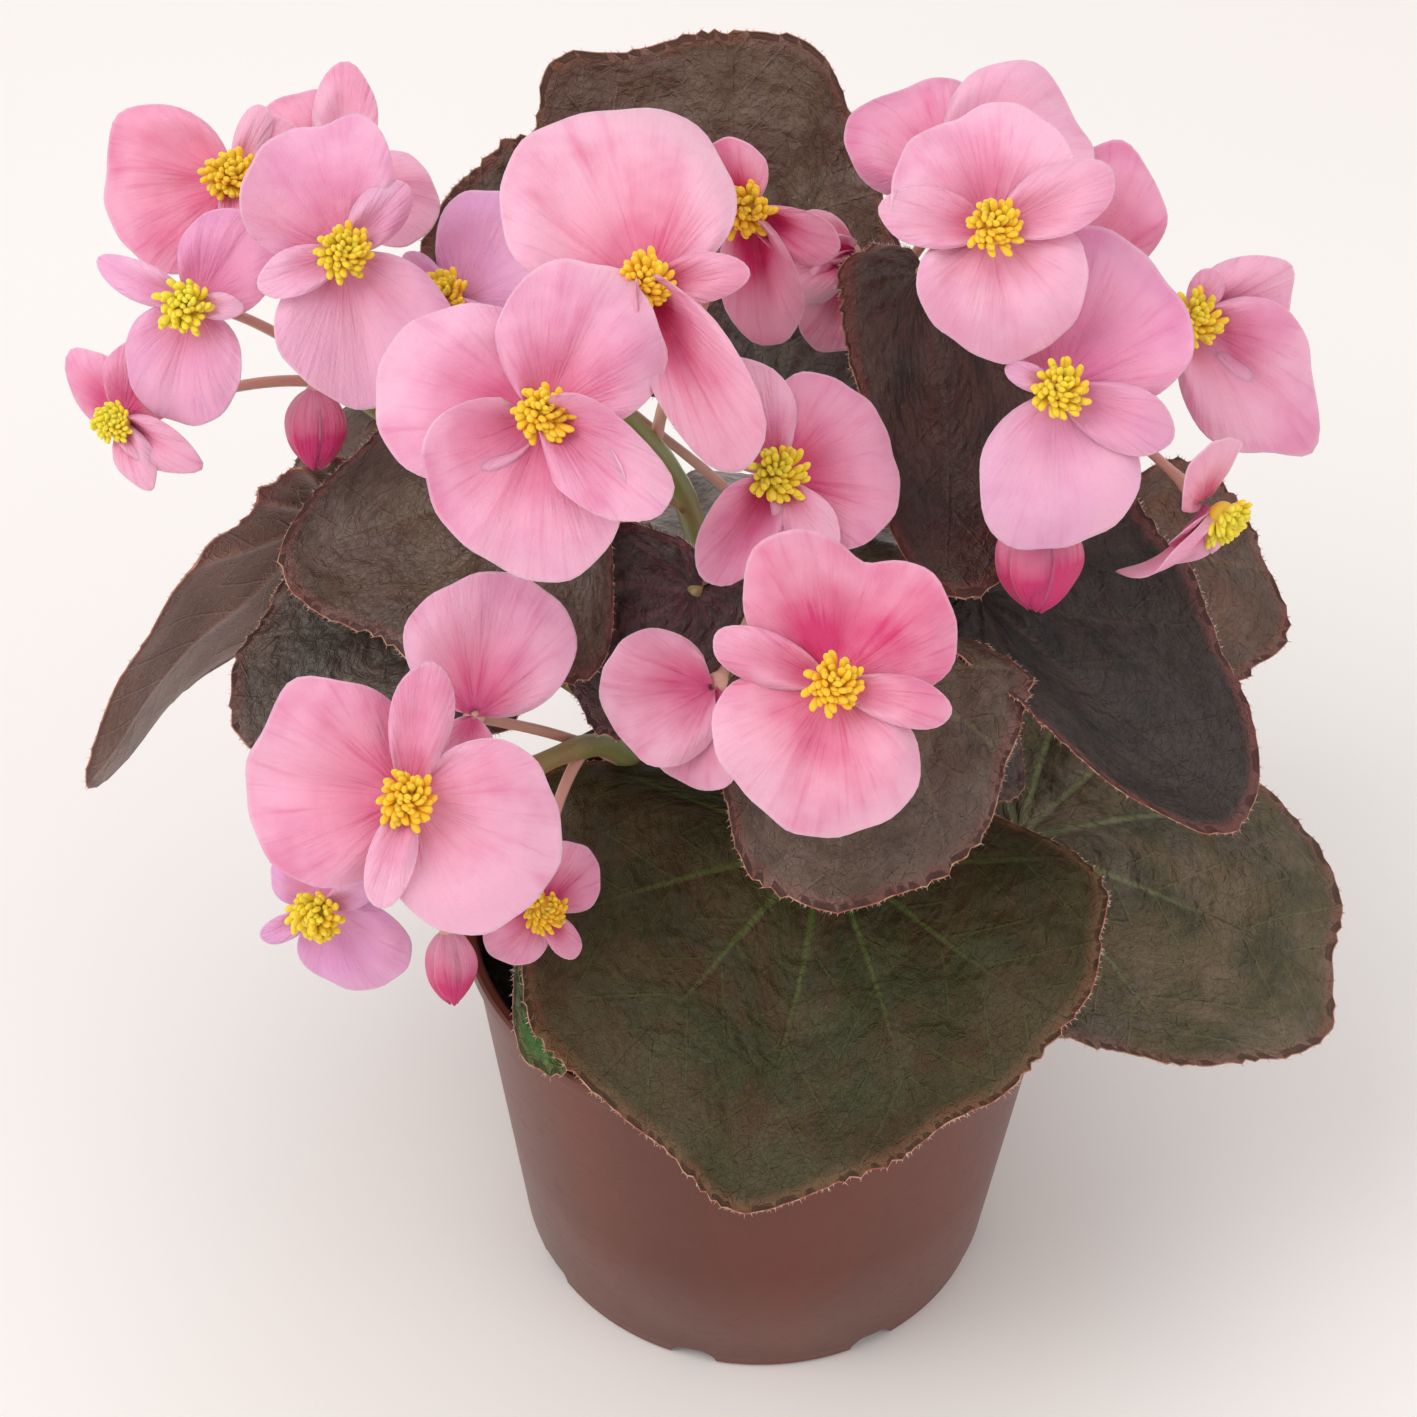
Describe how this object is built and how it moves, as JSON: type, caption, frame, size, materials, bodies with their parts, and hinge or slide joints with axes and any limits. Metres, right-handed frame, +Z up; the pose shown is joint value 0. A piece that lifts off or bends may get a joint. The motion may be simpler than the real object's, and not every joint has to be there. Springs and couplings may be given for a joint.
{
  "type": "potted begonia",
  "caption": "Bronze-leaved bedding begonia with clusters of pink flowers on fleshy green shoots, planted in compost in a small tapered nursery pot.",
  "frame": {"origin": "middle of the pot's base, on the plane it stands on", "axes": "+Z up along the pot's axis, -Y towards the plant's front, where its largest leaf and most of its flowers face"},
  "size_m": [0.2265, 0.1905, 0.2316],
  "materials": {
    "pot": "satin moulded terracotta-brown plastic",
    "compost": "moist crumbly peat compost",
    "stem": "smooth fleshy pale green, flushed pink",
    "leaf": "glossy bronze with a red hairy edge",
    "young_leaf": "glossy fresh green",
    "petal": "soft pink with a crystalline sheen and deeper veins",
    "bud": "soft deep pink"
  },
  "bodies": {
    "root": {"bud_front_left": "bud", "bud_left": "bud", "bud_right": "bud", "compost": "compost", "flower_back_centre": "petal", "flower_back_left": "petal", "flower_back_right": "petal", "flower_centre_left": "petal", "flower_centre_low": "petal", "flower_centre_right": "petal", "flower_centre_top": "petal", "flower_front": "petal", "flower_front_behind": "petal", "flower_front_left": "petal", "flower_front_left_behind": "petal", "flower_front_left_small": "petal", "flower_front_left_under": "petal", "flower_left_back": "petal", "flower_left_low": "petal", "flower_left_middle": "petal", "flower_left_outer": "petal", "flower_left_top": "petal", "flower_left_top_behind": "petal", "flower_right_behind": "petal", "flower_right_far": "petal", "flower_right_middle": "petal", "flower_right_side": "petal", "flower_right_top": "petal", "flower_right_top_behind": "petal", "leaf_back_centre": "leaf", "leaf_back_left": "leaf", "leaf_back_left_tall": "leaf", "leaf_back_right": "leaf", "leaf_back_tall": "leaf", "leaf_centre_back": "leaf", "leaf_centre_dark": "leaf", "leaf_far_left": "leaf", "leaf_front": "leaf", "leaf_front_upper": "leaf", "leaf_left_lower": "leaf", "leaf_left_small": "leaf", "leaf_left_upper": "leaf", "leaf_low_green": "young_leaf", "leaf_right_back": "leaf", "leaf_right_inner": "leaf", "leaf_right_lower": "leaf", "leaf_right_tall": "leaf", "leaf_right_upper": "leaf", "pot": "pot", "shoot_back": "stem", "shoot_back_left": "stem", "shoot_centre": "stem", "shoot_centre_left": "stem", "shoot_front_left": "stem", "shoot_right": "stem"}
  },
  "joints": []
}
